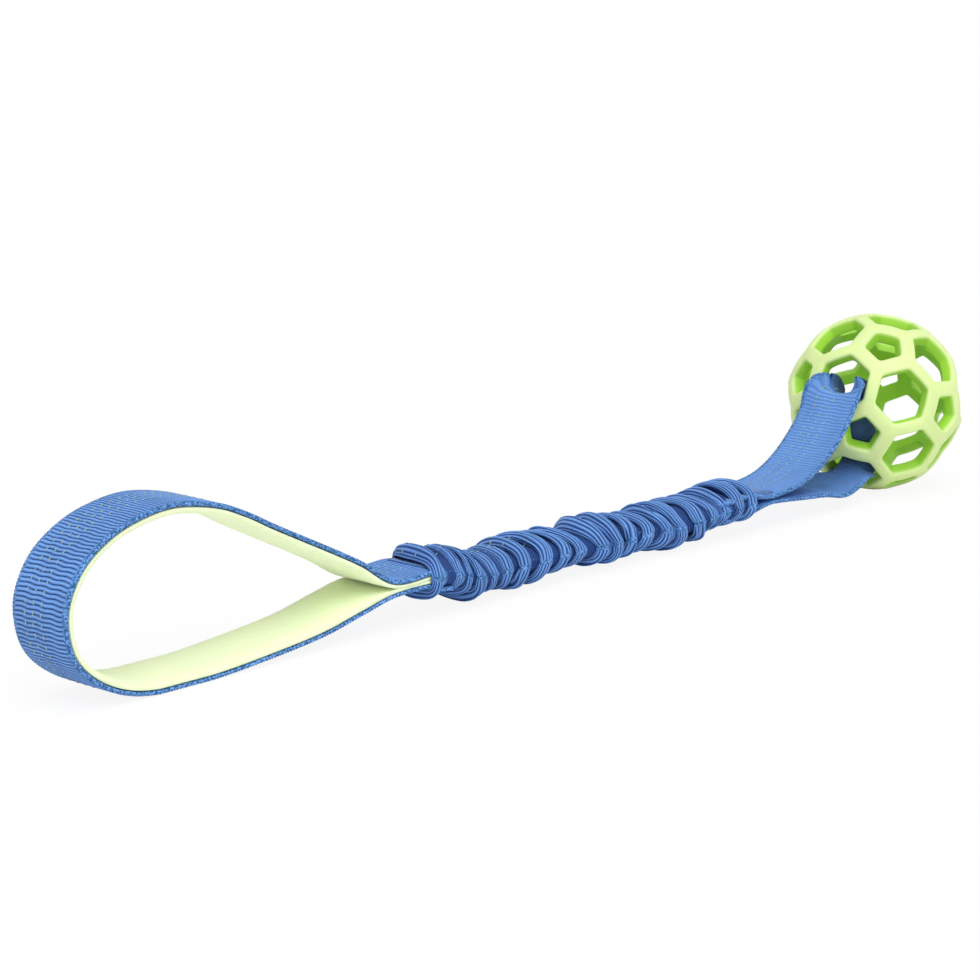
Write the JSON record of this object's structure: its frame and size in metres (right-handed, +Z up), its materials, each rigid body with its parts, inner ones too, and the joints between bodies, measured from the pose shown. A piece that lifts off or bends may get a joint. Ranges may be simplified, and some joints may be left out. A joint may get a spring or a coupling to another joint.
{
  "type": "bungee tug toy",
  "caption": "Tug toy with a padded webbing hand loop, a gathered elastic bungee sleeve and a webbing strap through a hollow lattice rubber ball.",
  "frame": {"origin": "centre of the footprint, on the surface that the toy lies on", "axes": "+X from the hand loop to the ball, +Z up, the webbing's width along Y"},
  "size_m": [0.459, 0.0682, 0.0695],
  "materials": {
    "webbing_blue": "ribbed woven polyester webbing with thin reflective dashes",
    "lining_lime": "soft brushed padding, pale lime",
    "sleeve_blue": "gathered woven tube",
    "elastic_white": "covered elastic band, hidden",
    "thread_blue": "twisted sewing thread",
    "rubber_green": "moulded natural rubber, satin lime green"
  },
  "bodies": {
    "bungee": {"sleeve": "sleeve_blue", "elastic_band_lower": "elastic_white", "elastic_band_upper": "elastic_white"},
    "handle": {"handle_webbing": "webbing_blue", "handle_lining": "lining_lime", "handle_bar_tack": "thread_blue"},
    "strap": {"ball_strap": "webbing_blue", "ball_bar_tack": "thread_blue"},
    "ball": {"ball": "rubber_green"}
  },
  "joints": [
    {"name": "handle_lift", "type": "hinge", "parent": "bungee", "child": "handle", "pos_m": [-0.08848, -0.0061, 0.0142], "axis": [0, 1, 0], "range_deg": [-70, 80], "deforming": ["sleeve", "elastic_band_lower", "elastic_band_upper"]},
    {"name": "bungee_stretch", "type": "slide", "parent": "bungee", "child": "strap", "axis": [1, 0, 0], "range_m": [0, 0.16], "stiffness_N_per_m": 120, "deforming": ["sleeve", "elastic_band_lower", "elastic_band_upper"]},
    {"name": "ball_swing", "type": "hinge", "parent": "strap", "child": "ball", "pos_m": [0.11002, -0.0061, 0.0118], "axis": [0, -1, 0], "range_deg": [-70, 80], "deforming": ["ball_strap"]}
  ]
}
